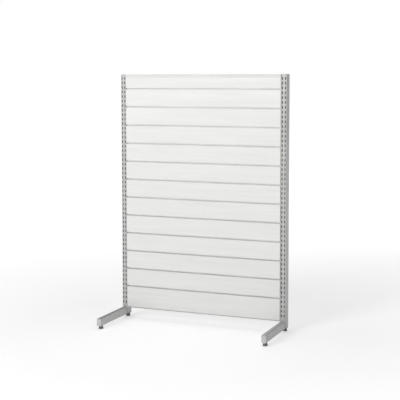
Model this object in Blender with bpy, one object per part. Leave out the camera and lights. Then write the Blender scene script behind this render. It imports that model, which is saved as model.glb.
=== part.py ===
"""Free-standing slatwall panel: a grooved board between two slotted uprights on two forward legs.

Metres, +Z up. X runs along the board, -Y is the front, and the origin is on the floor below the
middle of the unit. Each object is one separate piece of the real fixture.
"""
import math

import bmesh
import bpy

GAP = 0.0003                 # clearance between pieces that touch

# Overall
UPRIGHT_SPACING = 0.930      # centre to centre
TOP_Z = 1.360
LEG_REACH = 0.309            # leg end cap to the uprights' front face
BOLT_STAND = 0.004           # leg bolt heads behind the uprights

# Uprights
UPRIGHT_W = 0.030
UPRIGHT_D = 0.050
TUBE_WALL = 0.0016
TUBE_CORNER = 0.0022
BASE_Z = 0.018               # underside of the legs and of the uprights' plugs
CAP_T = 0.003
PLUG_LENGTH = 0.012
SLOT_PITCH = 0.025
SLOT_ROWS = 51
SLOT_H = 0.015
SLOT_W = 0.004
SLOT_COLUMN = 0.008          # each column from the upright's centre line
FIRST_SLOT_Z = 1.338

# Legs
LEG_W = 0.025
LEG_H = 0.040
LEG_BLOCK = 0.018
LEG_BOLTS = ((-0.0075, 0.036), (0.0075, 0.050))      # across, outwards, and height
M5_R = 0.0025

# Levelling feet
FOOT_REACH = 0.284           # front feet ahead of the uprights' front face
FOOT_BACK = 0.036            # rear feet behind it
PAD_R = 0.013
PAD_TOP_R = 0.0118
PAD_H = 0.0125
SOCKET_Z = 0.005
STEM_R = 0.004
STEM_TOP = 0.049
COLLAR_R = 0.011
FOOT_NUT = 0.020
FOOT_NUT_T = 0.007

# Board and its groove liners
BOARD_T = 0.018
BOARD_SIDE = 0.001           # gap to each upright
BOARD_PROUD = 0.0025         # board face ahead of the uprights' front face
GROOVES = 12
GROOVE_PITCH = 0.100
FIRST_GROOVE_Z = 1.281
MOUTH = 0.009
LIP = 0.005
CAVITY = 0.022
GROOVE_DEPTH = 0.013
LINER_T = 0.0012
LINER_RECESS = 0.0004

# Rails
SHEET = 0.0012
RAIL_BOTTOM_Z = 0.058
TOP_LIP = 0.018
BOTTOM_LIP = 0.005
RAIL_BACK_H = 0.040
TAB_T = 0.0015
TAB_END = 0.042              # tabs reach this far behind the uprights' front face
MIDDLE_Z = 0.731
MIDDLE_FLANGE = 0.018
PLATE_T = 0.003
RAIL_SCREW_Y = 0.031
PANEL_SCREW_R = 0.002
PANEL_SCREW_DEPTH = 0.011
PANEL_SCREW_X = 0.300

FACE_Y = (LEG_REACH - UPRIGHT_D - BOLT_STAND) / 2.0     # uprights' front face
UPRIGHT_X = UPRIGHT_SPACING / 2.0
INNER_X = UPRIGHT_X - UPRIGHT_W / 2.0                   # uprights' facing sides
BOARD_Y = FACE_Y - BOARD_PROUD
BOARD_BACK = BOARD_Y + BOARD_T
SIDES = (("left", -1.0), ("right", 1.0))


def clear_scene():
    for obj in list(bpy.data.objects):
        bpy.data.objects.remove(obj, do_unlink=True)


def material(name, color, roughness, metallic=0.0):
    mat = bpy.data.materials.new(name)
    mat.use_nodes = True
    shader = mat.node_tree.nodes["Principled BSDF"]
    shader.inputs["Base Color"].default_value = (*color, 1.0)
    shader.inputs["Roughness"].default_value = roughness
    shader.inputs["Metallic"].default_value = metallic
    mat.diffuse_color = (*color, 1.0)
    return mat


def finish(name, bm, mat=None, smooth=False):
    """Turns a bmesh into a named object in the scene."""
    bmesh.ops.recalc_face_normals(bm, faces=bm.faces)
    mesh = bpy.data.meshes.new(name)
    bm.to_mesh(mesh)
    bm.free()
    obj = bpy.data.objects.new(name, mesh)
    bpy.context.scene.collection.objects.link(obj)
    if mat:
        mesh.materials.append(mat)
    if smooth:
        mesh.shade_smooth()
        mesh.set_sharp_from_angle(angle=math.radians(35))
    return obj


def add_prism(bm, outline, axis, low, high):
    """Extrudes a closed 2-D outline along X, Y or Z; the outline is in the other two axes."""
    def place(point, along):
        a, b = point
        return {"X": (along, a, b), "Y": (a, along, b), "Z": (a, b, along)}[axis]

    lower = [bm.verts.new(place(p, low)) for p in outline]
    upper = [bm.verts.new(place(p, high)) for p in outline]
    count = len(outline)
    bm.faces.new(lower[::-1])
    bm.faces.new(upper)
    for i in range(count):
        j = (i + 1) % count
        bm.faces.new((lower[i], lower[j], upper[j], upper[i]))


def add_box(bm, x, y, z):
    add_prism(bm, [(x[0], y[0]), (x[1], y[0]), (x[1], y[1]), (x[0], y[1])], "Z", z[0], z[1])


def circle(radius, segments, center=(0.0, 0.0)):
    step = 2.0 * math.pi / segments
    return [(center[0] + radius * math.cos((i + 0.5) * step),
             center[1] + radius * math.sin((i + 0.5) * step)) for i in range(segments)]


def rounded(width, height, radius, center=(0.0, 0.0), steps=3):
    """Rectangle outline with quarter-circle corners."""
    points = []
    for corner in range(4):
        sx = (1, -1, -1, 1)[corner]
        sy = (1, 1, -1, -1)[corner]
        cx = center[0] + sx * (width / 2.0 - radius)
        cy = center[1] + sy * (height / 2.0 - radius)
        for i in range(steps + 1):
            angle = math.pi / 2.0 * (corner + i / steps)
            points.append((cx + radius * math.cos(angle), cy + radius * math.sin(angle)))
    return points


def add_turned(bm, profile, segments, place):
    """Revolves (radius, height) points, from axis to axis; place maps (a, b, h) to x, y, z."""
    rings = []
    for radius, height in profile:
        if radius == 0.0:
            rings.append([bm.verts.new(place(0.0, 0.0, height))])
        else:
            rings.append([bm.verts.new(place(a, b, height)) for a, b in circle(radius, segments)])
    for low, high in zip(rings, rings[1:]):
        for i in range(segments):
            j = (i + 1) % segments
            if len(low) == 1:
                bm.faces.new((low[0], high[j], high[i]))
            elif len(high) == 1:
                bm.faces.new((low[i], low[j], high[0]))
            else:
                bm.faces.new((low[i], low[j], high[j], high[i]))


def cut(obj, tool, operation="DIFFERENCE"):
    """Applies one exact Boolean to the object and removes the tool."""
    mod = obj.modifiers.new("cut", "BOOLEAN")
    mod.operation = operation
    mod.solver = "EXACT"
    mod.object = tool
    graph = bpy.context.evaluated_depsgraph_get()
    shaped = bpy.data.meshes.new_from_object(obj.evaluated_get(graph), depsgraph=graph)
    obj.modifiers.remove(mod)
    old = obj.data
    name = old.name
    obj.data = shaped
    bpy.data.meshes.remove(old)
    shaped.name = name
    tool_mesh = tool.data
    bpy.data.objects.remove(tool, do_unlink=True)
    bpy.data.meshes.remove(tool_mesh)


def tube(name, width, height, axis, low, high, center, mat):
    """Rectangular steel tube with rounded outer corners, open at both ends."""
    bm = bmesh.new()
    add_prism(bm, rounded(width, height, TUBE_CORNER, center), axis, low, high)
    obj = finish(name, bm, mat)
    half_w = width / 2.0 - TUBE_WALL
    half_h = height / 2.0 - TUBE_WALL
    cx, cy = center
    inner = [(cx - half_w, cy - half_h), (cx + half_w, cy - half_h),
             (cx + half_w, cy + half_h), (cx - half_w, cy + half_h)]
    bm = bmesh.new()
    add_prism(bm, inner, axis, low - 0.01, high + 0.01)
    cut(obj, finish("bore", bm))
    return obj


def rail_levels():
    """Middle height of each rail's end tabs."""
    top = TOP_Z - RAIL_BACK_H / 2.0
    bottom = RAIL_BOTTOM_Z + RAIL_BACK_H / 2.0
    return {"top": top, "middle": MIDDLE_Z, "bottom": bottom}


def mirror(obj):
    """Turns the object's mesh over across the plane x = 0."""
    bm = bmesh.new()
    bm.from_mesh(obj.data)
    for vert in bm.verts:
        vert.co.x = -vert.co.x
    bmesh.ops.reverse_faces(bm, faces=bm.faces)
    bm.to_mesh(obj.data)
    bm.free()


def upright(side, sign, mat):
    center = (UPRIGHT_X, FACE_Y + UPRIGHT_D / 2.0)
    low = BASE_Z + CAP_T + GAP
    high = TOP_Z - CAP_T - GAP
    obj = tube("upright_" + side, UPRIGHT_W, UPRIGHT_D, "Z", low, high, center, mat)
    bm = bmesh.new()
    for row in range(SLOT_ROWS):
        z = FIRST_SLOT_Z - row * SLOT_PITCH
        for offset in (-SLOT_COLUMN, SLOT_COLUMN):
            x = center[0] + offset
            add_box(bm, (x - SLOT_W / 2.0, x + SLOT_W / 2.0), (FACE_Y - 0.01, FACE_Y + 0.01),
                    (z - SLOT_H / 2.0, z + SLOT_H / 2.0))
    cut(obj, finish("slots", bm))
    bm = bmesh.new()
    for offset, z in LEG_BOLTS:
        hole = circle(M5_R + GAP, 8, (center[0] + offset, z))
        add_prism(bm, hole, "Y", FACE_Y - 0.01, FACE_Y + UPRIGHT_D + 0.01)
    for level in rail_levels().values():
        hole = circle(M5_R + GAP, 8, (FACE_Y + RAIL_SCREW_Y, level))
        add_prism(bm, hole, "X", INNER_X - 0.005, INNER_X + 0.005)
    cut(obj, finish("holes", bm))
    if sign < 0.0:
        mirror(obj)
    return obj


def plugged_cap(name, outline, plug, axis, face, inward, mat):
    """Cap flange at a tube's end with a plug inside it; inward is the way the plug goes."""
    bm = bmesh.new()
    flange = sorted((face, face + inward * CAP_T))
    add_prism(bm, outline, axis, *flange)
    obj = finish(name, bm, mat)
    bm = bmesh.new()
    start = face + inward * CAP_T * 0.5
    end = face + inward * (CAP_T + PLUG_LENGTH)
    add_prism(bm, plug, axis, *sorted((start, end)))
    cut(obj, finish("plug", bm), "UNION")
    return obj


def plug_outline(width, height, center):
    half_w = width / 2.0 - TUBE_WALL - GAP
    half_h = height / 2.0 - TUBE_WALL - GAP
    cx, cy = center
    return [(cx - half_w, cy - half_h), (cx + half_w, cy - half_h),
            (cx + half_w, cy + half_h), (cx - half_w, cy + half_h)]


def upright_cap(side, sign, mat):
    center = (sign * UPRIGHT_X, FACE_Y + UPRIGHT_D / 2.0)
    outline = rounded(UPRIGHT_W, UPRIGHT_D, TUBE_CORNER, center)
    plug = plug_outline(UPRIGHT_W, UPRIGHT_D, center)
    return plugged_cap("upright_cap_" + side, outline, plug, "Z", TOP_Z, -1.0, mat)


def upright_foot_insert(side, sign, mat):
    """Flanged threaded plug in an upright's lower end, for the rear foot."""
    center = (sign * UPRIGHT_X, FACE_Y + UPRIGHT_D / 2.0)
    outline = rounded(UPRIGHT_W, UPRIGHT_D, TUBE_CORNER, center)
    plug = plug_outline(UPRIGHT_W, UPRIGHT_D, center)
    name = "upright_foot_insert_" + side
    obj = plugged_cap(name, outline, plug, "Z", BASE_Z, 1.0, mat)
    bm = bmesh.new()
    hole = circle(STEM_R + GAP, 16, (center[0], FACE_Y + FOOT_BACK))
    add_prism(bm, hole, "Z", BASE_Z - 0.01, BASE_Z + CAP_T + PLUG_LENGTH + 0.01)
    cut(obj, finish("thread", bm))
    return obj


def leg(side, sign, mat):
    center = (sign * UPRIGHT_X, BASE_Z + LEG_H / 2.0)
    front = FACE_Y - LEG_REACH + CAP_T + GAP
    obj = tube("leg_" + side, LEG_W, LEG_H, "Y", front, FACE_Y - GAP, center, mat)
    bm = bmesh.new()
    hole = circle(STEM_R + 0.0012, 16, (center[0], FACE_Y - FOOT_REACH))
    add_prism(bm, hole, "Z", BASE_Z - 0.005, BASE_Z + 0.005)
    cut(obj, finish("foot_hole", bm))
    return obj


def leg_end_cap(side, sign, mat):
    center = (sign * UPRIGHT_X, BASE_Z + LEG_H / 2.0)
    outline = rounded(LEG_W, LEG_H, TUBE_CORNER, center)
    plug = plug_outline(LEG_W, LEG_H, center)
    return plugged_cap("leg_end_cap_" + side, outline, plug, "Y", FACE_Y - LEG_REACH, 1.0, mat)


def leg_block(side, sign, mat):
    """Tapped block in a leg's rear end."""
    center = (sign * UPRIGHT_X, BASE_Z + LEG_H / 2.0)
    bm = bmesh.new()
    rear = FACE_Y - 2.0 * GAP
    add_prism(bm, plug_outline(LEG_W, LEG_H, center), "Y", rear - LEG_BLOCK, rear)
    obj = finish("leg_block_" + side, bm, mat)
    bm = bmesh.new()
    for offset, z in LEG_BOLTS:
        hole = circle(M5_R + GAP, 8, (center[0] + sign * offset, z))
        add_prism(bm, hole, "Y", rear - LEG_BLOCK - 0.01, rear + 0.01)
    cut(obj, finish("holes", bm))
    return obj


def bolt_profile(length, radius, head_radius, head_height):
    """Button-head screw: tip at -length, head seat at 0."""
    return [(0.0, -length), (radius, -length), (radius, 0.0), (head_radius, 0.0),
            (head_radius, head_height * 0.4), (head_radius * 0.6, head_height),
            (0.0, head_height)]


def leg_bolts(side, sign, mat):
    """Long screws through an upright into its leg's block."""
    seat = FACE_Y + UPRIGHT_D + GAP
    profile = bolt_profile(UPRIGHT_D + LEG_BLOCK - 0.002, M5_R, 0.0046, BOLT_STAND - GAP)
    for name, (offset, z) in zip(("lower", "upper"), LEG_BOLTS):
        bm = bmesh.new()
        add_turned(bm, profile, 12, lambda a, b, h: (a, h, b))
        obj = finish("leg_bolt_%s_%s" % (side, name), bm, mat, smooth=True)
        obj.location = (sign * (UPRIGHT_X + offset), seat, z)


def leg_foot_nut(side, sign, mat):
    """Square nut welded on the inside of a leg's lower wall."""
    x = sign * UPRIGHT_X
    y = FACE_Y - FOOT_REACH
    z = BASE_Z + TUBE_WALL + GAP
    half = FOOT_NUT / 2.0
    bm = bmesh.new()
    add_box(bm, (x - half, x + half), (y - half, y + half), (z, z + FOOT_NUT_T))
    obj = finish("leg_foot_nut_" + side, bm, mat)
    bm = bmesh.new()
    add_prism(bm, circle(STEM_R + GAP, 16, (x, y)), "Z", z - 0.01, z + FOOT_NUT_T + 0.01)
    cut(obj, finish("thread", bm))
    return obj


def foot_places():
    for side, sign in SIDES:
        yield "front_" + side, sign * UPRIGHT_X, FACE_Y - FOOT_REACH
        yield "rear_" + side, sign * UPRIGHT_X, FACE_Y + FOOT_BACK


def foot_pad(place, x, y, mat):
    """Round glide with a socket for the stem; its origin is on the foot's axis."""
    profile = [(0.0, 0.0), (PAD_R - 0.0012, 0.0), (PAD_R, 0.0012), (PAD_R, 0.0045),
               (PAD_TOP_R, PAD_H - 0.001), (PAD_TOP_R - 0.001, PAD_H),
               (STEM_R + GAP, PAD_H), (STEM_R + GAP, SOCKET_Z), (0.0, SOCKET_Z)]
    bm = bmesh.new()
    add_turned(bm, profile, 24, lambda a, b, h: (a, b, h))
    obj = finish("foot_pad_" + place, bm, mat, smooth=True)
    obj.location = (x, y, 0.0)
    return obj


def foot_stem(place, x, y, mat):
    """Threaded stem with a hexagonal collar; its origin is on the foot's axis."""
    bm = bmesh.new()
    profile = [(0.0, SOCKET_Z + GAP), (STEM_R, SOCKET_Z + GAP), (STEM_R, STEM_TOP - 0.001),
               (STEM_R - 0.001, STEM_TOP), (0.0, STEM_TOP)]
    add_turned(bm, profile, 16, lambda a, b, h: (a, b, h))
    obj = finish("foot_stem_" + place, bm, mat)
    bm = bmesh.new()
    add_prism(bm, circle(COLLAR_R, 6), "Z", PAD_H + GAP, BASE_Z - GAP)
    cut(obj, finish("collar", bm), "UNION")
    obj.data.shade_smooth()
    obj.data.set_sharp_from_angle(angle=math.radians(35))
    obj.location = (x, y, 0.0)
    return obj


def groove_heights():
    return [FIRST_GROOVE_Z - i * GROOVE_PITCH for i in range(GROOVES)]


def slat_board(mat):
    """One board, grooved across its whole width; pilot holes in its back."""
    low = RAIL_BOTTOM_Z + SHEET + GAP
    high = TOP_Z - SHEET - GAP
    mouth = MOUTH / 2.0
    cavity = CAVITY / 2.0
    outline = [(BOARD_BACK, low), (BOARD_Y, low)]
    for z in reversed(groove_heights()):
        outline += [(BOARD_Y, z - mouth), (BOARD_Y + LIP, z - mouth),
                    (BOARD_Y + LIP, z - cavity), (BOARD_Y + GROOVE_DEPTH, z - cavity),
                    (BOARD_Y + GROOVE_DEPTH, z + cavity), (BOARD_Y + LIP, z + cavity),
                    (BOARD_Y + LIP, z + mouth), (BOARD_Y, z + mouth)]
    outline += [(BOARD_Y, high), (BOARD_BACK, high)]
    bm = bmesh.new()
    half = INNER_X - BOARD_SIDE
    add_prism(bm, outline, "X", -half, half)
    obj = finish("slat_board", bm, mat)
    bm = bmesh.new()
    for x, z in panel_screw_places():
        hole = circle(PANEL_SCREW_R + GAP, 8, (x, z))
        add_prism(bm, hole, "Y", BOARD_BACK - PANEL_SCREW_DEPTH, BOARD_BACK + 0.01)
    cut(obj, finish("pilot_holes", bm))
    return obj


def groove_liner(index, z, mat):
    """T-shaped aluminium liner along one groove."""
    front = BOARD_Y + LINER_RECESS
    lip = BOARD_Y + LIP + GAP
    back = BOARD_Y + GROOVE_DEPTH - GAP
    mouth = MOUTH / 2.0 - GAP
    cavity = CAVITY / 2.0 - GAP
    t = LINER_T
    half = [(front, mouth), (lip, mouth), (lip, cavity), (back, cavity)]
    inner = [(front, mouth - t), (lip + t, mouth - t), (lip + t, cavity - t), (back - t, cavity - t)]
    outline = [(y, z - h) for y, h in half] + [(y, z + h) for y, h in reversed(half)]
    outline += [(y, z + h) for y, h in inner] + [(y, z - h) for y, h in reversed(inner)]
    bm = bmesh.new()
    end = INNER_X - BOARD_SIDE
    add_prism(bm, outline, "X", -end, end)
    return finish("groove_liner_%02d" % index, bm, mat)


def panel_screw_places():
    levels = rail_levels()
    for z in (levels["top"] - 0.008, levels["middle"], levels["bottom"] + 0.008):
        for _, sign in SIDES:
            yield sign * PANEL_SCREW_X, z


def add_rail_holes(obj, low, high, level):
    """Screw holes through a rail's back sheet and through both of its end tabs."""
    bm = bmesh.new()
    for x, z in panel_screw_places():
        if low < z < high:
            hole = circle(PANEL_SCREW_R + GAP, 8, (x, z))
            add_prism(bm, hole, "Y", BOARD_BACK - 0.001, BOARD_BACK + 0.005)
    for sign in (-1.0, 1.0):
        hole = circle(M5_R + GAP, 8, (FACE_Y + RAIL_SCREW_Y, level))
        add_prism(bm, hole, "X", *sorted((sign * (INNER_X - 0.006), sign * (INNER_X + 0.001))))
    cut(obj, finish("holes", bm))


def edge_rail(name, level, web_z, lip_height, mat):
    """Folded sheet along the board's top or bottom edge, with a tab at each end.

    The web covers the board's edge at web_z, a lip of lip_height folds over its face, and the back
    sheet is as tall as the tabs.
    """
    back = BOARD_BACK + GAP
    reach = INNER_X - GAP
    low = level - RAIL_BACK_H / 2.0
    high = level + RAIL_BACK_H / 2.0
    tab = FACE_Y + TAB_END
    plan = [(-reach, back), (reach, back), (reach, tab), (reach - TAB_T, tab),
            (reach - TAB_T, back + SHEET), (TAB_T - reach, back + SHEET), (TAB_T - reach, tab),
            (-reach, tab)]
    bm = bmesh.new()
    add_prism(bm, plan, "Z", low, high)
    obj = finish(name, bm, mat)

    front = BOARD_Y - GAP
    inward = -1.0 if web_z > level else 1.0
    fold = web_z + inward * SHEET
    lip_end = web_z + inward * lip_height
    section = [(back + SHEET, web_z), (front - SHEET, web_z), (front - SHEET, lip_end),
               (front, lip_end), (front, fold), (back + SHEET, fold)]
    bm = bmesh.new()
    add_prism(bm, section, "X", BOARD_SIDE - INNER_X, INNER_X - BOARD_SIDE)
    cut(obj, finish("fold", bm), "UNION")
    add_rail_holes(obj, low, high, level)
    return obj


def middle_rail(mat):
    """Channel across the board's back, open to the rear."""
    back = BOARD_BACK + GAP
    half_h = RAIL_BACK_H / 2.0
    deep = back + MIDDLE_FLANGE
    z = MIDDLE_Z
    section = [(back, z - half_h), (deep, z - half_h), (deep, z - half_h + SHEET),
               (back + SHEET, z - half_h + SHEET), (back + SHEET, z + half_h - SHEET),
               (deep, z + half_h - SHEET), (deep, z + half_h), (back, z + half_h)]
    reach = INNER_X - 2.0 * GAP - PLATE_T
    bm = bmesh.new()
    add_prism(bm, section, "X", -reach, reach)
    obj = finish("middle_rail", bm, mat)
    bm = bmesh.new()
    for x, height in panel_screw_places():
        if abs(height - MIDDLE_Z) < half_h:
            hole = circle(PANEL_SCREW_R + GAP, 8, (x, height))
            add_prism(bm, hole, "Y", back - 0.001, back + 0.005)
    cut(obj, finish("holes", bm))
    return obj


def middle_rail_plate(side, sign, mat):
    """End plate that joins the middle rail to an upright."""
    outer = sign * (INNER_X - GAP)
    inner = sign * (INNER_X - GAP - PLATE_T)
    half_h = RAIL_BACK_H / 2.0
    bm = bmesh.new()
    add_box(bm, sorted((outer, inner)), (BOARD_BACK + GAP, FACE_Y + TAB_END),
            (MIDDLE_Z - half_h, MIDDLE_Z + half_h))
    obj = finish("middle_rail_plate_" + side, bm, mat)
    bm = bmesh.new()
    hole = circle(M5_R + GAP, 8, (FACE_Y + RAIL_SCREW_Y, MIDDLE_Z))
    add_prism(bm, hole, "X", *sorted((outer + sign * 0.005, inner - sign * 0.005)))
    cut(obj, finish("holes", bm))
    return obj


def rail_screws(rail, level, thickness, mat):
    """Screws that hold one rail's ends to the tapped holes in the uprights."""
    profile = bolt_profile(thickness + TUBE_WALL + 0.006, M5_R, 0.0046, 0.0028)
    seat = INNER_X - 2.0 * GAP - thickness
    for side, sign in SIDES:
        bm = bmesh.new()
        add_turned(bm, profile, 12, lambda a, b, h: (-sign * h, a, b))
        obj = finish("%s_rail_screw_%s" % (rail, side), bm, mat, smooth=True)
        obj.location = (sign * seat, FACE_Y + RAIL_SCREW_Y, level)


def panel_screws(mat):
    """Wood screws through the rails into the board's back."""
    seat = BOARD_BACK + SHEET + 2.0 * GAP
    profile = bolt_profile(PANEL_SCREW_DEPTH - 0.0005, PANEL_SCREW_R, 0.0038, 0.0022)
    for index, (x, z) in enumerate(panel_screw_places(), start=1):
        bm = bmesh.new()
        add_turned(bm, profile, 10, lambda a, b, h: (a, h, b))
        obj = finish("panel_screw_%d" % index, bm, mat, smooth=True)
        obj.location = (x, seat, z)


def build():
    clear_scene()
    paint = material("grey_powder_coat", (0.46, 0.46, 0.46), 0.42, 0.25)
    rail_paint = material("white_powder_coat", (0.76, 0.76, 0.75), 0.45)
    melamine = material("white_melamine", (0.83, 0.83, 0.81), 0.38)
    aluminium = material("aluminium", (0.62, 0.62, 0.63), 0.32, 1.0)
    zinc = material("zinc_plated_steel", (0.55, 0.56, 0.57), 0.35, 1.0)
    steel = material("plain_steel", (0.32, 0.32, 0.33), 0.45, 1.0)
    burnished = material("burnished_steel", (0.14, 0.14, 0.14), 0.4, 0.8)
    dark = material("dark_grey_plastic", (0.13, 0.13, 0.132), 0.5)
    grey = material("grey_plastic", (0.40, 0.40, 0.40), 0.5)

    levels = rail_levels()
    for side, sign in SIDES:
        upright(side, sign, paint)
        upright_cap(side, sign, grey)
        upright_foot_insert(side, sign, dark)
        leg(side, sign, paint)
        leg_end_cap(side, sign, grey)
        leg_block(side, sign, steel)
        leg_bolts(side, sign, zinc)
        leg_foot_nut(side, sign, steel)
        middle_rail_plate(side, sign, paint)
    for place, x, y in foot_places():
        foot_pad(place, x, y, dark)
        foot_stem(place, x, y, burnished)
    slat_board(melamine)
    for index, z in enumerate(groove_heights(), start=1):
        groove_liner(index, z, aluminium)
    edge_rail("top_rail", levels["top"], TOP_Z, TOP_LIP, rail_paint)
    edge_rail("bottom_rail", levels["bottom"], RAIL_BOTTOM_Z, BOTTOM_LIP, paint)
    middle_rail(paint)
    rail_screws("top", levels["top"], TAB_T, zinc)
    rail_screws("middle", levels["middle"], PLATE_T, zinc)
    rail_screws("bottom", levels["bottom"], TAB_T, zinc)
    panel_screws(zinc)


build()
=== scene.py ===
"""Looks of the free-standing slatwall panel: fine meshes, materials, light and camera.

Metres, in the frame's own axes: X along the board, -Y to the front, the floor at z = 0.
"""
import math

import bmesh
import bpy
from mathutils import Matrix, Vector


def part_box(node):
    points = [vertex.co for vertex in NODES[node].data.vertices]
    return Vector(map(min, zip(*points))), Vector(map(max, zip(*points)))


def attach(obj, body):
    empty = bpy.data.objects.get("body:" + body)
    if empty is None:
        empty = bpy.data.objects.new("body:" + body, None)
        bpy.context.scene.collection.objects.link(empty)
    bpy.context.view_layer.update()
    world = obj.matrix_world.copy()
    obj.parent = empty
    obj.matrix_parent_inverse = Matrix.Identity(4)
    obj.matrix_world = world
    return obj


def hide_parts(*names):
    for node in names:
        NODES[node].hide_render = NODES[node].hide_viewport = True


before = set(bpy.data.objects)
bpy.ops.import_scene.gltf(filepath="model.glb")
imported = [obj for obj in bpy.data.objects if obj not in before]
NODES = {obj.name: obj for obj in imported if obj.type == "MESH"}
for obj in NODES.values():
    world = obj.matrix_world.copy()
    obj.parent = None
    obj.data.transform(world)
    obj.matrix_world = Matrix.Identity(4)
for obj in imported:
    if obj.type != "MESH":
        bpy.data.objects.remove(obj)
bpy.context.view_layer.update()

SIDES = ("left", "right")
SHARP = math.radians(32)     # edges turning by more than this stay sharp

# Upright slots, from the upright's top end cap downwards
SLOT_PITCH = 0.025
SLOT_ROWS = 51
SLOT_W = 0.004
SLOT_H = 0.015
SLOT_CORNER = 0.0014
SLOT_COLUMN = 0.008
FIRST_SLOT_DROP = 0.022
TUBE_WALL = 0.0016
TUBE_CORNER = 0.0022
BORE_CORNER = 0.0007
BARE_DEPTH = 0.0006          # below this depth in a tube's wall the steel is bare, drawn near black, partly painted shade
CAP_T = 0.003                # flange of the caps in the tubes' ends
CAP_FIT = 0.0003             # between a cap's plug and its tube

# Board and liners
GROOVES = 12
MOUTH = 0.009
LIP = 0.005
CAVITY = 0.022
GROOVE_DEPTH = 0.013
LINER_T = 0.0012
LINER_CLEARANCE = 0.0003
SLAT_EASE = 0.0005           # rounding of the slats' front edges
LINER_EASE = 0.00025

# Fasteners and feet
SCREW_R = 0.0025
LEG_BOLT_HEAD = 0.0037       # head heights
RAIL_SCREW_HEAD = 0.0028
PANEL_SCREW_HEAD = 0.0022
PANEL_SCREW_R = 0.002
PANEL_HEAD_R = 0.0038
PANEL_SCREWS = 6
HOLE_EASE = 0.0003
HEX_KEY = 0.0017             # half the socket's width across flats, on the largest head
HEX_HEAD_R = 0.0046
STEM_R = 0.004
THREAD_PITCH = 0.00125
THREAD_DEPTH = 0.00062
COLLAR_R = 0.011
COLLAR_CHAMFER = 0.0008

# Light: the surroundings' strength, and each area light's place, size and power in watts
WORLD_LIGHT = 0.22
LIGHTS = (("key", (-2.6, -6.8, 3.1), 3.0, 236.0),
          ("fill", (2.2, -1.2, 2.8), 1.4, 5.0),
          ("top", (0.0, 0.6, 4.6), 3.0, 45.0))

# Camera: place and lens in metres and millimetres, angles in degrees
CAMERA_PLACE = (2.0521, -4.7887, 1.3315)
CAMERA_AZIMUTH = 21.760
CAMERA_TILT = 4.632
CAMERA_LENS = 89.328
CAMERA_SHIFT = (-0.0418, -0.10)


# ---------------------------------------------------------------- node helpers

class Shader:
    """A Principled material whose node graph is built in short steps."""

    def __init__(self, name):
        self.mat = bpy.data.materials.new(name)
        self.mat.use_nodes = True
        self.tree = self.mat.node_tree
        self.out = self.tree.nodes["Principled BSDF"]
        self.coords = self.add("ShaderNodeTexCoord").outputs["Object"]

    def add(self, kind, inputs=None, **settings):
        node = self.tree.nodes.new(kind)
        for key, value in settings.items():
            setattr(node, key, value)
        for key, value in (inputs or {}).items():
            self.feed(node.inputs[key], value)
        return node

    def feed(self, socket, value):
        if isinstance(value, bpy.types.NodeSocket):
            self.tree.links.new(value, socket)
        else:
            socket.default_value = value

    def set(self, **values):
        for key, value in values.items():
            self.feed(self.out.inputs[key.replace("_", " ")], value)

    def noise(self, scale, detail=3.0, rough=0.5, stretch=(1.0, 1.0, 1.0), offset=(0.0, 0.0, 0.0)):
        """Noise over object coordinates; stretch above 1 packs it tighter along that axis."""
        place = self.add("ShaderNodeMapping", {"Vector": self.coords, "Scale": stretch,
                                               "Location": offset})
        return self.add("ShaderNodeTexNoise", {"Vector": place.outputs[0], "Scale": scale,
                                               "Detail": detail, "Roughness": rough}).outputs[0]

    def ramp(self, value, low, high, start=0.0, end=1.0):
        """Maps value from low..high to start..end, clamped."""
        node = self.add("ShaderNodeMapRange", {"Value": value, "From Min": low, "From Max": high,
                                               "To Min": start, "To Max": end})
        return node.outputs[0]

    def math(self, operation, a, b=0.0):
        node = self.add("ShaderNodeMath", operation=operation)
        self.feed(node.inputs[0], a)
        self.feed(node.inputs[1], b)
        return node.outputs[0]

    def mix(self, factor, a, b):
        node = self.add("ShaderNodeMix", data_type="RGBA")
        self.feed(node.inputs[0], factor)
        for socket, value in ((node.inputs[6], a), (node.inputs[7], b)):
            self.feed(socket, value if isinstance(value, bpy.types.NodeSocket) else (*value, 1.0))
        return node.outputs[2]

    def bump(self, height, strength, distance, normal=None):
        node = self.add("ShaderNodeBump", {"Height": height, "Strength": strength,
                                           "Distance": distance})
        if normal:
            self.feed(node.inputs["Normal"], normal)
        return node.outputs[0]

    def edges(self, radius):
        """1 on worn convex or concave edges, 0 on flats."""
        soft = self.add("ShaderNodeBevel", {"Radius": radius}, samples=4).outputs[0]
        plain = self.add("ShaderNodeNewGeometry").outputs["Normal"]
        dot = self.add("ShaderNodeVectorMath", operation="DOT_PRODUCT")
        self.feed(dot.inputs[0], soft)
        self.feed(dot.inputs[1], plain)
        return self.ramp(dot.outputs["Value"], 0.98, 0.80)

    def height_fade(self, low, high):
        """1 at and below z = low, 0 at and above z = high."""
        z = self.add("ShaderNodeSeparateXYZ", {"Vector": self.coords}).outputs[2]
        return self.ramp(z, low, high, 1.0, 0.0)


# ---------------------------------------------------------------- materials

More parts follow.
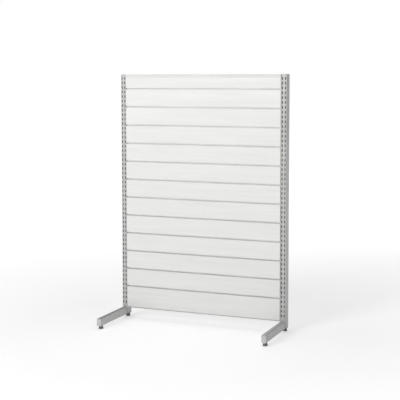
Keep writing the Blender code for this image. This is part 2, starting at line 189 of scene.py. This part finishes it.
def melamine():
    """White facing with a faint horizontal wood grain."""
    s = Shader("white_melamine_grain")
    broad = s.noise(1.0, 4.0, 0.62, (2.2, 20.0, 55.0))
    fine = s.noise(1.0, 6.0, 0.60, (7.0, 60.0, 420.0), (3.1, 0.0, 1.7))
    pores = s.noise(1.0, 2.0, 0.5, (26.0, 200.0, 1700.0), (0.0, 5.0, 2.0))
    grain = s.math("ADD", s.math("MULTIPLY", broad, 0.55), s.math("MULTIPLY", fine, 0.45))
    tone = s.ramp(grain, 0.36, 0.66)
    color = s.mix(tone, (0.765, 0.765, 0.745), (0.835, 0.835, 0.822))
    dark_pore = s.ramp(pores, 0.60, 0.74, 0.0, 0.22)
    color = s.mix(dark_pore, color, (0.66, 0.66, 0.64))
    cloud = s.noise(2.3, 3.0, 0.5)
    color = s.mix(s.ramp(cloud, 0.45, 0.75, 0.0, 0.22), color, (0.745, 0.745, 0.735))
    # the board is drawn darker towards its bottom, in soft patches
    dust_and_low_darkening = s.math("MULTIPLY", s.height_fade(0.08, 0.45), s.ramp(cloud, 0.3, 0.7, 0.15, 0.5))
    color = s.mix(s.math("MULTIPLY", dust_and_low_darkening, 0.35), color, (0.66, 0.655, 0.63))
    smear = s.noise(5.0, 4.0, 0.6, (1.0, 1.0, 2.4))
    rough = s.math("ADD", s.ramp(smear, 0.35, 0.7, 0.33, 0.47), s.ramp(fine, 0.4, 0.7, 0.0, 0.06))
    height = s.math("SUBTRACT", s.math("MULTIPLY", fine, 0.7), s.math("MULTIPLY", dark_pore, 1.6))
    s.set(Base_Color=color, Roughness=rough, Normal=s.bump(height, 0.35, 0.00025))
    s.out.inputs["Specular IOR Level"].default_value = 0.45
    return s.mat


def fibreboard():
    """Raw MDF on the board's cut ends and inside its grooves."""
    s = Shader("raw_fibreboard")
    fibre = s.noise(900.0, 4.0, 0.65)
    layers = s.noise(1.0, 3.0, 0.5, (8.0, 700.0, 8.0))
    color = s.mix(s.ramp(fibre, 0.35, 0.65), (0.34, 0.24, 0.15), (0.50, 0.38, 0.25))
    color = s.mix(s.ramp(layers, 0.4, 0.7, 0.0, 0.35), color, (0.30, 0.21, 0.13))
    s.set(Base_Color=color, Roughness=s.ramp(fibre, 0.3, 0.7, 0.75, 0.92),
          Normal=s.bump(fibre, 0.4, 0.0003))
    return s.mat


def powder_coat(name, dark, light, chip, metallic, flecks=0.12):
    """Baked powder paint: orange peel, fine flecks, rubs and worn edges."""
    s = Shader(name)
    peel = s.noise(950.0, 2.0, 0.4)
    fleck = s.noise(5200.0, 1.0, 0.5)
    cloud = s.noise(7.0, 3.0, 0.55)
    color = s.mix(s.ramp(cloud, 0.3, 0.7), dark, light)
    color = s.mix(s.ramp(fleck, 0.58, 0.70, 0.0, flecks), color, chip)
    rub = s.noise(1.0, 5.0, 0.7, (260.0, 260.0, 18.0))
    rubs = s.math("MULTIPLY", s.ramp(rub, 0.60, 0.70), s.ramp(cloud, 0.5, 0.7, 0.0, 0.45))
    color = s.mix(rubs, color, chip)
    worn = s.math("MULTIPLY", s.edges(0.0007), s.ramp(s.noise(160.0, 4.0, 0.6), 0.48, 0.66))
    color = s.mix(s.math("MULTIPLY", worn, 0.6), color, chip)
    # the paint is drawn darker towards the floor, in soft patches
    low_darkening_mask = s.math("MULTIPLY", s.height_fade(0.0, 0.14), s.ramp(cloud, 0.35, 0.65, 0.1, 0.45))
    color = s.mix(s.math("MULTIPLY", low_darkening_mask, 0.5), color, tuple(c * 0.55 for c in dark))
    rough = s.math("ADD", s.ramp(s.noise(22.0, 4.0, 0.6), 0.3, 0.7, 0.36, 0.50),
                   s.math("MULTIPLY", rubs, -0.1))
    s.set(Base_Color=color, Roughness=rough, Normal=s.bump(peel, 0.22, 0.00012))
    s.out.inputs["Metallic"].default_value = metallic
    return s.mat


def aluminium():
    """Natural anodised extrusion with drawing lines along X."""
    s = Shader("anodised_aluminium")
    lines = s.noise(1.0, 5.0, 0.7, (3.0, 2600.0, 2600.0))
    soft = s.noise(9.0, 3.0, 0.5, (1.0, 6.0, 6.0))
    color = s.mix(s.ramp(lines, 0.3, 0.7), (0.74, 0.745, 0.75), (0.84, 0.845, 0.85))
    color = s.mix(s.ramp(soft, 0.4, 0.7, 0.0, 0.3), color, (0.70, 0.705, 0.71))
    rough = s.math("ADD", s.ramp(lines, 0.3, 0.7, 0.34, 0.48), s.ramp(soft, 0.4, 0.7, 0.0, 0.06))
    s.set(Base_Color=color, Roughness=rough, Normal=s.bump(lines, 0.18, 0.00008))
    s.out.inputs["Metallic"].default_value = 0.35
    return s.mat


def zinc():
    """Bright zinc plate with faint spangle and a little white bloom."""
    s = Shader("zinc_plate")
    spangle = s.add("ShaderNodeTexVoronoi", {"Vector": s.coords, "Scale": 900.0}).outputs["Color"]
    grey = s.add("ShaderNodeSeparateColor", {"Color": spangle}).outputs[0]
    color = s.mix(grey, (0.50, 0.51, 0.53), (0.64, 0.65, 0.66))
    bloom = s.noise(420.0, 4.0, 0.65)
    color = s.mix(s.ramp(bloom, 0.55, 0.75, 0.0, 0.4), color, (0.42, 0.42, 0.40))
    s.set(Base_Color=color, Roughness=s.ramp(bloom, 0.35, 0.7, 0.26, 0.44),
          Normal=s.bump(bloom, 0.12, 0.00006))
    s.out.inputs["Metallic"].default_value = 1.0
    return s.mat


def burnished_steel():
    """Dark burnished steel with fine turning lines and dull patches."""
    s = Shader("burnished_steel")
    turned = s.noise(1.0, 4.0, 0.7, (500.0, 500.0, 3800.0))
    dull = s.noise(220.0, 4.0, 0.6)
    color = s.mix(s.ramp(dull, 0.35, 0.7), (0.17, 0.17, 0.175), (0.12, 0.115, 0.11))
    color = s.mix(s.ramp(turned, 0.55, 0.75, 0.0, 0.35), color, (0.30, 0.30, 0.30))
    s.set(Base_Color=color, Roughness=s.ramp(turned, 0.3, 0.7, 0.34, 0.52),
          Normal=s.bump(turned, 0.2, 0.00005))
    s.out.inputs["Metallic"].default_value = 0.8
    return s.mat


def bore_steel_and_painted_shade():
    """Mill scale and thin overspray inside a tube; its near-black colour is partly painted shade
    for the dark inside of the tube and its slots.
    """
    s = Shader("bore_steel_and_painted_shade")
    scale = s.noise(35.0, 4.0, 0.6)
    spray = s.noise(600.0, 3.0, 0.6)
    # painted shade: the bore is drawn darker than mill scale, standing for the shade inside the
    # tube and its slots
    color = s.mix(s.ramp(scale, 0.35, 0.65), (0.030, 0.029, 0.028), (0.060, 0.058, 0.056))
    color = s.mix(s.ramp(spray, 0.55, 0.75, 0.0, 0.3), color, (0.16, 0.16, 0.16))
    s.set(Base_Color=color, Roughness=s.ramp(scale, 0.3, 0.7, 0.6, 0.8),
          Normal=s.bump(scale, 0.2, 0.0001))
    s.out.inputs["Metallic"].default_value = 0.3
    return s.mat


def raw_steel():
    """Machined steel with oil-dark patches."""
    s = Shader("raw_steel")
    turned = s.noise(1.0, 4.0, 0.7, (1400.0, 40.0, 1400.0))
    stain = s.noise(60.0, 4.0, 0.6)
    color = s.mix(s.ramp(stain, 0.4, 0.7), (0.34, 0.34, 0.35), (0.20, 0.18, 0.17))
    s.set(Base_Color=color, Roughness=s.ramp(turned, 0.3, 0.7, 0.32, 0.55),
          Normal=s.bump(turned, 0.2, 0.00006))
    s.out.inputs["Metallic"].default_value = 1.0
    return s.mat


def moulded(name, color, dust_and_low_darkening):
    """Moulded plastic: spark-eroded grain, flow clouds, and dust near the floor."""
    s = Shader(name)
    grain = s.noise(2600.0, 2.0, 0.5)
    flow = s.noise(45.0, 3.0, 0.5)
    lighter = tuple(min(1.0, c * 1.18 + 0.006) for c in color)
    tint = s.mix(s.ramp(flow, 0.3, 0.7), color, lighter)
    scuff = s.math("MULTIPLY", s.edges(0.0006), s.ramp(s.noise(300.0, 3.0, 0.6), 0.45, 0.65))
    tint = s.mix(s.math("MULTIPLY", scuff, 0.5), tint, dust_and_low_darkening)
    low = s.math("MULTIPLY", s.height_fade(0.0, 0.011), s.ramp(s.noise(180.0, 4.0), 0.4, 0.7))
    tint = s.mix(s.math("MULTIPLY", low, 0.45), tint, dust_and_low_darkening)
    s.set(Base_Color=tint, Roughness=s.ramp(flow, 0.3, 0.7, 0.42, 0.58),
          Normal=s.bump(grain, 0.25, 0.00006))
    return s.mat


# ---------------------------------------------------------------- mesh helpers

def arc_outline(width, height, radius, center=(0.0, 0.0), steps=6):
    """Rectangle outline with quarter-circle corners, anticlockwise."""
    points = []
    for corner, (sx, sy) in enumerate(((1, 1), (-1, 1), (-1, -1), (1, -1))):
        cx = center[0] + sx * (width / 2.0 - radius)
        cy = center[1] + sy * (height / 2.0 - radius)
        for i in range(steps + 1):
            angle = math.pi / 2.0 * (corner + i / steps)
            points.append((cx + radius * math.cos(angle), cy + radius * math.sin(angle)))
    return points


def eased(outline, radii, steps=3):
    """Rounds an outline's corners; radii is one radius, or one for each corner."""
    count = len(outline)
    points = []
    for i, corner in enumerate(outline):
        radius = radii if isinstance(radii, float) else radii[i]
        here = Vector(corner)
        before = Vector(outline[i - 1]) - here
        after = Vector(outline[(i + 1) % count]) - here
        if radius <= 0.0:
            points.append(tuple(here))
            continue
        before.normalize()
        after.normalize()
        half = before.angle(after) / 2.0
        reach = radius / math.tan(half)
        middle = here + (before + after).normalized() * (radius / math.sin(half))
        start = here + before * reach - middle
        end = here + after * reach - middle
        for k in range(steps + 1):
            t = k / steps
            swing = math.pi - 2.0 * half
            a = math.sin((1.0 - t) * swing) / math.sin(swing)
            b = math.sin(t * swing) / math.sin(swing)
            points.append(tuple(middle + start * a + end * b))
    return points


def placed(point, along, axis):
    a, b = point
    return {"X": (along, a, b), "Y": (a, along, b), "Z": (a, b, along)}[axis]


def add_prism(bm, outline, axis, low, high):
    lower = [bm.verts.new(placed(p, low, axis)) for p in outline]
    upper = [bm.verts.new(placed(p, high, axis)) for p in outline]
    bm.faces.new(lower[::-1])
    bm.faces.new(upper)
    for i in range(len(outline)):
        j = (i + 1) % len(outline)
        bm.faces.new((lower[i], lower[j], upper[j], upper[i]))


def add_sleeve(bm, outer, inner, axis, low, high):
    """Open tube between two outlines of the same number of points."""
    rings = [[bm.verts.new(placed(p, z, axis)) for p in outline]
             for outline, z in ((outer, low), (outer, high), (inner, high), (inner, low))]
    for first, second in zip(rings, rings[1:] + rings[:1]):
        for i in range(len(outer)):
            j = (i + 1) % len(outer)
            bm.faces.new((first[i], first[j], second[j], second[i]))


def add_rings(bm, rings, place):
    """Skins rings of (a, b, height) points; a ring of one point closes an end."""
    made = [[bm.verts.new(place(*p)) for p in ring] for ring in rings]
    for low, high in zip(made, made[1:]):
        count = max(len(low), len(high))
        for i in range(count):
            j = (i + 1) % count
            if len(low) == 1:
                bm.faces.new((low[0], high[j], high[i]))
            elif len(high) == 1:
                bm.faces.new((low[i], low[j], high[0]))
            else:
                bm.faces.new((low[i], low[j], high[j], high[i]))


def ring(radius, height, segments):
    """A round ring, or a single point where the radius is 0."""
    if radius == 0.0:
        return [(0.0, 0.0, height)]
    step = 2.0 * math.pi / segments
    return [(radius * math.cos(i * step), radius * math.sin(i * step), height)
            for i in range(segments)]


def hex_ring(apothem, height, segments, limit=1.0):
    """A hexagonal ring, cut back to a circle of radius limit at its corners."""
    points = []
    for i in range(segments):
        angle = 2.0 * math.pi * i / segments
        radius = apothem / math.cos((angle % (math.pi / 3.0)) - math.pi / 6.0)
        radius = min(radius, limit)
        points.append((radius * math.cos(angle), radius * math.sin(angle), height))
    return points


def to_object(name, bm, *materials, smooth=True):
    bmesh.ops.recalc_face_normals(bm, faces=bm.faces)
    mesh = bpy.data.meshes.new(name)
    bm.to_mesh(mesh)
    bm.free()
    obj = bpy.data.objects.new(name, mesh)
    bpy.context.scene.collection.objects.link(obj)
    for mat in materials:
        mesh.materials.append(mat)
    if smooth:
        mesh.shade_smooth()
        mesh.set_sharp_from_angle(angle=SHARP)
    return obj


def cut(obj, tool):
    """Cuts the tool out of the object with one exact Boolean, and removes the tool."""
    mod = obj.modifiers.new("cut", "BOOLEAN")
    mod.operation = "DIFFERENCE"
    mod.solver = "EXACT"
    mod.object = tool
    graph = bpy.context.evaluated_depsgraph_get()
    shaped = bpy.data.meshes.new_from_object(obj.evaluated_get(graph), depsgraph=graph)
    obj.modifiers.remove(mod)
    old = obj.data
    obj.data = shaped
    bpy.data.meshes.remove(old)
    bpy.data.objects.remove(tool, do_unlink=True)
    shaped.shade_smooth()
    shaped.set_sharp_from_angle(angle=SHARP)


def ease_edges(obj, width, segments, angle):
    mod = obj.modifiers.new("eased_edges", "BEVEL")
    mod.width = width
    mod.segments = segments
    mod.limit_method = "ANGLE"
    mod.angle_limit = math.radians(angle)
    mod.use_clamp_overlap = True
    mod.harden_normals = False


def stands_for(obj, node, body="frame"):
    """Shows obj in the CAD node's place, hiding the node, on the given body."""
    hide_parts(node)
    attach(obj, body)


def span(node):
    low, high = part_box(node)
    return low, high, (low + high) / 2.0


# ---------------------------------------------------------------- uprights and legs

def tube(name, node, axis, mat):
    """Rectangular tube with rounded corners, as big as its CAD node."""
    low, high, middle = span(node)
    flat = {"Z": (0, 1, 2), "Y": (0, 2, 1)}[axis]
    size = high - low
    width, height = size[flat[0]], size[flat[1]]
    center = (middle[flat[0]], middle[flat[1]])
    outer = arc_outline(width, height, TUBE_CORNER, center)
    inner = arc_outline(width - 2.0 * TUBE_WALL, height - 2.0 * TUBE_WALL, BORE_CORNER, center)
    bm = bmesh.new()
    add_sleeve(bm, outer, inner, axis, low[flat[2]], high[flat[2]])
    return to_object(name, bm, mat)


def bare_inside(obj, node, axis, mat):
    """Gives the bore and the walls of the cut-outs the uncoated finish, whose near-black colour is
    partly painted shade.
    """
    low, high, _ = span(node)
    obj.data.materials.append(mat)
    across = [i for i in range(3) if i != "XYZ".index(axis)]
    for face in obj.data.polygons:
        middle = face.center
        deep = min(min(middle[i] - low[i], high[i] - middle[i]) for i in across)
        if deep > BARE_DEPTH:
            face.material_index = 1


def round_hole(bm, radius, center, axis, low, high, segments=24):
    points = [(center[0] + a, center[1] + b) for a, b, _ in ring(radius, 0.0, segments)]
    add_prism(bm, points, axis, low, high)


def upright(side, mat, bare_and_shade):
    """Upright with its double column of slots, leg-screw holes and tapped rail holes."""
    node = "upright_" + side
    low, high, middle = span(node)
    obj = tube("upright_%s_fine" % side, node, "Z", mat)
    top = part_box("upright_cap_" + side)[1].z
    bm = bmesh.new()
    for row in range(SLOT_ROWS):
        z = top - FIRST_SLOT_DROP - row * SLOT_PITCH
        for offset in (-SLOT_COLUMN, SLOT_COLUMN):
            outline = arc_outline(SLOT_W, SLOT_H, SLOT_CORNER, (middle.x + offset, z), steps=3)
            add_prism(bm, outline, "Y", low.y - 0.01, low.y + 0.01)
    cut(obj, to_object("slots", bm))
    bm = bmesh.new()
    for place in ("lower", "upper"):
        bolt = span("leg_bolt_%s_%s" % (side, place))[2]
        round_hole(bm, SCREW_R + HOLE_EASE, (bolt.x, bolt.z), "Y", low.y - 0.01, high.y + 0.01)
    inner = low.x if side == "right" else high.x
    for rail in ("top", "middle", "bottom"):
        screw = span("%s_rail_screw_%s" % (rail, side))[2]
        round_hole(bm, SCREW_R + HOLE_EASE, (screw.y, screw.z), "X", inner - 0.005, inner + 0.005)
    cut(obj, to_object("holes", bm))
    bare_inside(obj, node, "Z", bare_and_shade)
    ease_edges(obj, 0.0004, 1, 60.0)
    stands_for(obj, node)


def leg(side, mat, bare_and_shade):
    node = "leg_" + side
    low, _, _ = span(node)
    obj = tube("leg_%s_fine" % side, node, "Y", mat)
    stem = span("foot_stem_front_" + side)[2]
    bm = bmesh.new()
    round_hole(bm, STEM_R + 0.0012, (stem.x, stem.y), "Z", low.z - 0.005, low.z + 0.005)
    cut(obj, to_object("foot_hole", bm))
    bare_inside(obj, node, "Y", bare_and_shade)
    ease_edges(obj, 0.0002, 1, 60.0)
    stands_for(obj, node)


def end_cap(name, node, axis, outward, mat):
    """Moulded cap: softly edged flange, a shallow step at its joint, and a tapered plug."""
    low, high, middle = span(node)
    flat = {"Z": (0, 1, 2), "Y": (0, 2, 1)}[axis]
    size = high - low
    width, height = size[flat[0]], size[flat[1]]
    center = (middle[flat[0]], middle[flat[1]])
    face = high[flat[2]] if outward > 0 else low[flat[2]]
    plug_end = face - outward * size[flat[2]]
    plug_inset = TUBE_WALL + CAP_FIT
    profile = ((plug_inset, CAP_T), (0.0002, CAP_T), (0.0, CAP_T - 0.0004), (0.0, 0.0011),
               (0.0003, 0.0004), (0.0009, 0.0), (0.0030, 0.0))
    outlines = []
    for inset, depth in profile:
        radius = max(TUBE_CORNER - inset, 0.0006)
        outline = arc_outline(width - 2.0 * inset, height - 2.0 * inset, radius, center)
        outlines.append((outline, face - outward * depth))
    plug = arc_outline(width - 2.0 * plug_inset, height - 2.0 * plug_inset, 0.0006, center)
    tip = arc_outline(width - 2.0 * plug_inset - 0.001, height - 2.0 * plug_inset - 0.001,
                      0.0006, center)
    outlines[0:0] = [(tip, plug_end), (plug, plug_end + outward * 0.0015)]
    bm = bmesh.new()
    rings = [[bm.verts.new(placed(p, along, axis)) for p in outline] for outline, along in outlines]
    for first, second in zip(rings, rings[1:]):
        for i in range(len(first)):
            j = (i + 1) % len(first)
            bm.faces.new((first[i], first[j], second[j], second[i]))
    bm.faces.new(rings[0])
    bm.faces.new(rings[-1])
    obj = to_object(name, bm, mat)
    stands_for(obj, node)


# ---------------------------------------------------------------- board, liners and rails

def groove_heights():
    return [span("groove_liner_%02d" % (i + 1))[2].z for i in range(GROOVES)]


def board(face_mat, raw_mat):
    """Grooved board with eased slat edges; its ends and groove walls are raw fibreboard."""
    low, high, _ = span("slat_board")
    front, back = low.y, high.y
    mouth, cavity = MOUTH / 2.0, CAVITY / 2.0
    outline = [(back, low.z), (front, low.z)]
    radii = [0.0003, 0.0003]
    for z in sorted(groove_heights()):
        outline += [(front, z - mouth), (front + LIP, z - mouth), (front + LIP, z - cavity),
                    (front + GROOVE_DEPTH, z - cavity), (front + GROOVE_DEPTH, z + cavity),
                    (front + LIP, z + cavity), (front + LIP, z + mouth), (front, z + mouth)]
        radii += [SLAT_EASE] + [0.0] * 6 + [SLAT_EASE]
    outline += [(front, high.z), (back, high.z)]
    radii += [0.0003, 0.0003]
    bm = bmesh.new()
    add_prism(bm, eased(outline, radii), "X", low.x, high.x)
    bm.normal_update()
    for face in bm.faces:
        center = face.calc_center_median()
        inside = front + 0.0008 < center.y < back - 0.0008
        face.material_index = 1 if inside or abs(face.normal.x) > 0.5 else 0
    obj = to_object("slat_board_fine", bm, face_mat, raw_mat)
    stands_for(obj, "slat_board")


def liner(index, mat):
    """T-shaped groove liner with eased corners."""
    node = "groove_liner_%02d" % index
    low, high, middle = span(node)
    t = LINER_T
    mouth = MOUTH / 2.0 - LINER_CLEARANCE
    cavity = CAVITY / 2.0 - LINER_CLEARANCE
    lip = low.y - 0.0004 + LIP + LINER_CLEARANCE
    back = high.y
    front = low.y
    z = middle.z
    half = [(front, mouth), (lip, mouth), (lip, cavity), (back, cavity)]
    inner = [(front, mouth - t), (lip + t, mouth - t), (lip + t, cavity - t),
             (back - t, cavity - t)]
    outline = [(y, z - h) for y, h in half] + [(y, z + h) for y, h in reversed(half)]
    outline += [(y, z + h) for y, h in inner] + [(y, z - h) for y, h in reversed(inner)]
    bm = bmesh.new()
    add_prism(bm, eased(outline, LINER_EASE), "X", low.x, high.x)
    stands_for(to_object("groove_liner_%02d_fine" % index, bm, mat), node)


def keep(node, mat, edge=0.0):
    """Shows the CAD node itself, with its own finish and its edges eased."""
    obj = NODES[node]
    obj.data.materials.clear()
    obj.data.materials.append(mat)
    if edge > 0.0:
        weld = obj.modifiers.new("joined", "WELD")
        weld.merge_threshold = 0.00001
        ease_edges(obj, edge, 2, 40.0)


# ---------------------------------------------------------------- fasteners and feet

def screw(node, axis, outward, radius, head_radius, head_height, mat):
    """Button-head screw with a hexagon socket, its head to the outward side."""
    low, high, middle = span(node)
    flat = {"X": 0, "Y": 1}[axis]
    top = high[flat] if outward > 0 else low[flat]
    length = high[flat] - low[flat]
    n = 24
    tip = -(length - head_height)
    rings = [ring(0.0, tip, n), ring(radius * 0.7, tip, n), ring(radius, tip + 0.0008, n),
             ring(radius, 0.0, n), ring(head_radius, 0.0, n),
             ring(head_radius, head_height * 0.25, n),
             ring(head_radius * 0.93, head_height * 0.55, n),
             ring(head_radius * 0.76, head_height * 0.82, n),
             ring(head_radius * 0.52, head_height, n)]
    key = HEX_KEY * head_radius / HEX_HEAD_R
    rings += [hex_ring(key, head_height, n), hex_ring(key, head_height * 0.35, n),
              ring(0.0, head_height * 0.25, n)]
    seat = top - outward * head_height

    def place(a, b, h):
        along = seat + outward * h
        if axis == "X":
            return (along, middle.y + a, middle.z + b)
        return (middle.x + a, along, middle.z + b)

    bm = bmesh.new()
    add_rings(bm, rings, place)
    stands_for(to_object(node + "_fine", bm, mat), node)


def foot_pad(place, mat):
    """Round glide: rounded lower rim, side groove, tapering side and a socket for the stem."""
    node = "foot_pad_" + place
    low, high, middle = span(node)
    radius = (high.x - low.x) / 2.0
    height = high.z - low.z
    profile = [(0.0, 0.0004), (radius - 0.0040, 0.0004), (radius - 0.0034, 0.0),
               (radius - 0.0012, 0.0), (radius - 0.0004, 0.0004), (radius, 0.0012),
               (radius, 0.0026), (radius - 0.0004, 0.0028), (radius - 0.0004, 0.0032),
               (radius, 0.0034), (radius, 0.0043), (radius - 0.0003, 0.0052),
               (radius - 0.0013, height - 0.0016), (radius - 0.0018, height - 0.0006),
               (radius - 0.0026, height), (STEM_R + 0.0006, height),
               (STEM_R + 0.0003, height - 0.0004), (STEM_R + 0.0003, 0.005), (0.0, 0.005)]
    bm = bmesh.new()
    add_rings(bm, [ring(r, h, 48) for r, h in profile],
              lambda a, b, h: (middle.x + a, middle.y + b, low.z + h))
    stands_for(to_object(node + "_fine", bm, mat), node, "pad_" + place)


def foot_stem(place, mat):
    """Stem with a chamfered hexagonal collar and a real helical thread."""
    node = "foot_stem_" + place
    low, high, middle = span(node)
    n = 24
    collar_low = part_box("foot_pad_" + place)[1].z + 0.0003
    collar_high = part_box("leg_left")[0].z - 0.0003
    apothem = COLLAR_R * math.cos(math.pi / 6.0)       # half the collar's width across flats
    rings = [ring(0.0, low.z, n), ring(STEM_R - 0.0005, low.z, n), ring(STEM_R, low.z + 0.0005, n),
             ring(STEM_R, collar_low, n),
             hex_ring(apothem, collar_low, n, apothem + 0.0001),
             hex_ring(apothem, collar_low + COLLAR_CHAMFER, n),
             hex_ring(apothem, collar_high - COLLAR_CHAMFER, n),
             hex_ring(apothem, collar_high, n, apothem + 0.0001),
             ring(STEM_R - THREAD_DEPTH, collar_high, n)]
    step = THREAD_PITCH / 5.0
    count = int((high.z - 0.0012 - collar_high) / step)
    for k in range(1, count):
        z = collar_high + k * step
        points = []
        for i in range(n):
            turn = i / n
            phase = (z / THREAD_PITCH - turn) % 1.0
            crest = 1.0 - abs(2.0 * phase - 1.0)
            radius = STEM_R - THREAD_DEPTH * (1.0 - min(1.0, crest * 1.25))
            angle = 2.0 * math.pi * turn
            points.append((radius * math.cos(angle), radius * math.sin(angle), z))
        rings.append(points)
    rings += [ring(STEM_R - THREAD_DEPTH, high.z - 0.001, n), ring(STEM_R - 0.0011, high.z, n),
              ring(0.0, high.z, n)]
    bm = bmesh.new()
    add_rings(bm, rings, lambda a, b, h: (middle.x + a, middle.y + b, h))
    stands_for(to_object(node + "_fine", bm, mat), node, "stem_" + place)


# ---------------------------------------------------------------- studio

def studio():
    """Pale floor that glows more with distance, a painted light that fades it to white; soft
    lights, and the camera.
    """
    scene = bpy.context.scene
    floor_mat = Shader("studio_floor")
    soft = floor_mat.noise(3.0, 2.0, 0.5)
    away = floor_mat.add("ShaderNodeVectorMath", operation="LENGTH")
    floor_mat.feed(away.inputs[0], floor_mat.coords)
    # painted glow: the floor emits light, weaker near the object and stronger far off, fading it
    # into the backdrop and lighting the object's lower parts
    floor_mat.set(Base_Color=floor_mat.mix(soft, (0.80, 0.80, 0.80), (0.82, 0.82, 0.82)),
                  Emission_Strength=floor_mat.ramp(away.outputs["Value"], 0.9, 4.5, 0.46, 0.86))
    floor_mat.out.inputs["Emission Color"].default_value = (1.0, 1.0, 1.0, 1.0)
    floor_mat.out.inputs["Roughness"].default_value = 0.9
    floor_mat.out.inputs["Specular IOR Level"].default_value = 0.1
    bm = bmesh.new()
    bmesh.ops.create_grid(bm, x_segments=1, y_segments=1, size=30.0)
    floor = to_object("studio_floor", bm, floor_mat.mat, smooth=False)
    floor.location.z = -0.0002

    world = bpy.data.worlds.new("studio_world")
    scene.world = world
    world.use_nodes = True
    tree = world.node_tree
    background = tree.nodes["Background"]
    background.inputs["Color"].default_value = (1.0, 1.0, 1.0, 1.0)
    seen = tree.nodes.new("ShaderNodeLightPath").outputs["Is Camera Ray"]
    strength = tree.nodes.new("ShaderNodeMapRange")
    tree.links.new(seen, strength.inputs["Value"])
    strength.inputs["To Min"].default_value = WORLD_LIGHT
    strength.inputs["To Max"].default_value = 1.0
    tree.links.new(strength.outputs[0], background.inputs["Strength"])

    target = Vector((0.0, 0.0, 0.75))
    for name, place, size, power in LIGHTS:
        light = bpy.data.lights.new(name, "AREA")
        light.shape = "SQUARE"
        light.size = size
        light.energy = power
        lamp = bpy.data.objects.new(name, light)
        scene.collection.objects.link(lamp)
        lamp.location = place
        lamp.rotation_euler = (target - Vector(place)).to_track_quat("-Z", "Y").to_euler()

    camera = bpy.data.cameras.new("camera")
    camera.sensor_width = 36.0
    camera.lens = CAMERA_LENS
    camera.shift_x = CAMERA_SHIFT[0]
    camera.shift_y = CAMERA_SHIFT[1]
    camera.clip_end = 200.0
    eye = bpy.data.objects.new("camera", camera)
    scene.collection.objects.link(eye)
    eye.location = CAMERA_PLACE
    eye.rotation_euler = (math.radians(90.0 - CAMERA_TILT), 0.0, math.radians(CAMERA_AZIMUTH))
    scene.camera = eye
    scene.view_settings.view_transform = "Standard"
    scene.view_settings.look = "None"


def build():
    paint = powder_coat("silver_grey_powder_coat", (0.455, 0.455, 0.452), (0.51, 0.51, 0.506),
                        (0.70, 0.70, 0.69), 0.15)
    rail_paint = powder_coat("off_white_powder_coat", (0.69, 0.69, 0.68), (0.74, 0.74, 0.73),
                             (0.82, 0.82, 0.81), 0.0, 0.06)
    face = melamine()
    raw = fibreboard()
    metal = aluminium()
    plate = zinc()
    steel = raw_steel()
    dark = burnished_steel()
    bore = bore_steel_and_painted_shade()
    pad_grey = moulded("dark_grey_moulding", (0.125, 0.125, 0.128), (0.27, 0.265, 0.255))
    grey = moulded("grey_moulding", (0.50, 0.50, 0.495), (0.60, 0.60, 0.59))

    for side in SIDES:
        upright(side, paint, bore)
        leg(side, paint, bore)
        end_cap("upright_cap_%s_fine" % side, "upright_cap_" + side, "Z", 1.0, grey)
        end_cap("leg_end_cap_%s_fine" % side, "leg_end_cap_" + side, "Y", -1.0, grey)
        keep("upright_foot_insert_" + side, pad_grey, 0.0004)
        keep("leg_block_" + side, steel, 0.0003)
        keep("leg_foot_nut_" + side, steel, 0.0004)
        keep("middle_rail_plate_" + side, paint, 0.0004)
        for place in ("lower", "upper"):
            screw("leg_bolt_%s_%s" % (side, place), "Y", 1.0, SCREW_R, HEX_HEAD_R,
                  LEG_BOLT_HEAD, plate)
        inward = 1.0 if side == "left" else -1.0
        for rail in ("top", "middle", "bottom"):
            screw("%s_rail_screw_%s" % (rail, side), "X", inward, SCREW_R, HEX_HEAD_R,
                  RAIL_SCREW_HEAD, plate)
        for end in ("front_", "rear_"):
            foot_pad(end + side, pad_grey)
            foot_stem(end + side, dark)
    board(face, raw)
    for index in range(1, GROOVES + 1):
        liner(index, metal)
    keep("top_rail", rail_paint, 0.0004)
    keep("bottom_rail", paint, 0.0004)
    keep("middle_rail", paint, 0.0004)
    for index in range(1, PANEL_SCREWS + 1):
        screw("panel_screw_%d" % index, "Y", 1.0, PANEL_SCREW_R, PANEL_HEAD_R,
              PANEL_SCREW_HEAD, plate)


build()
studio()
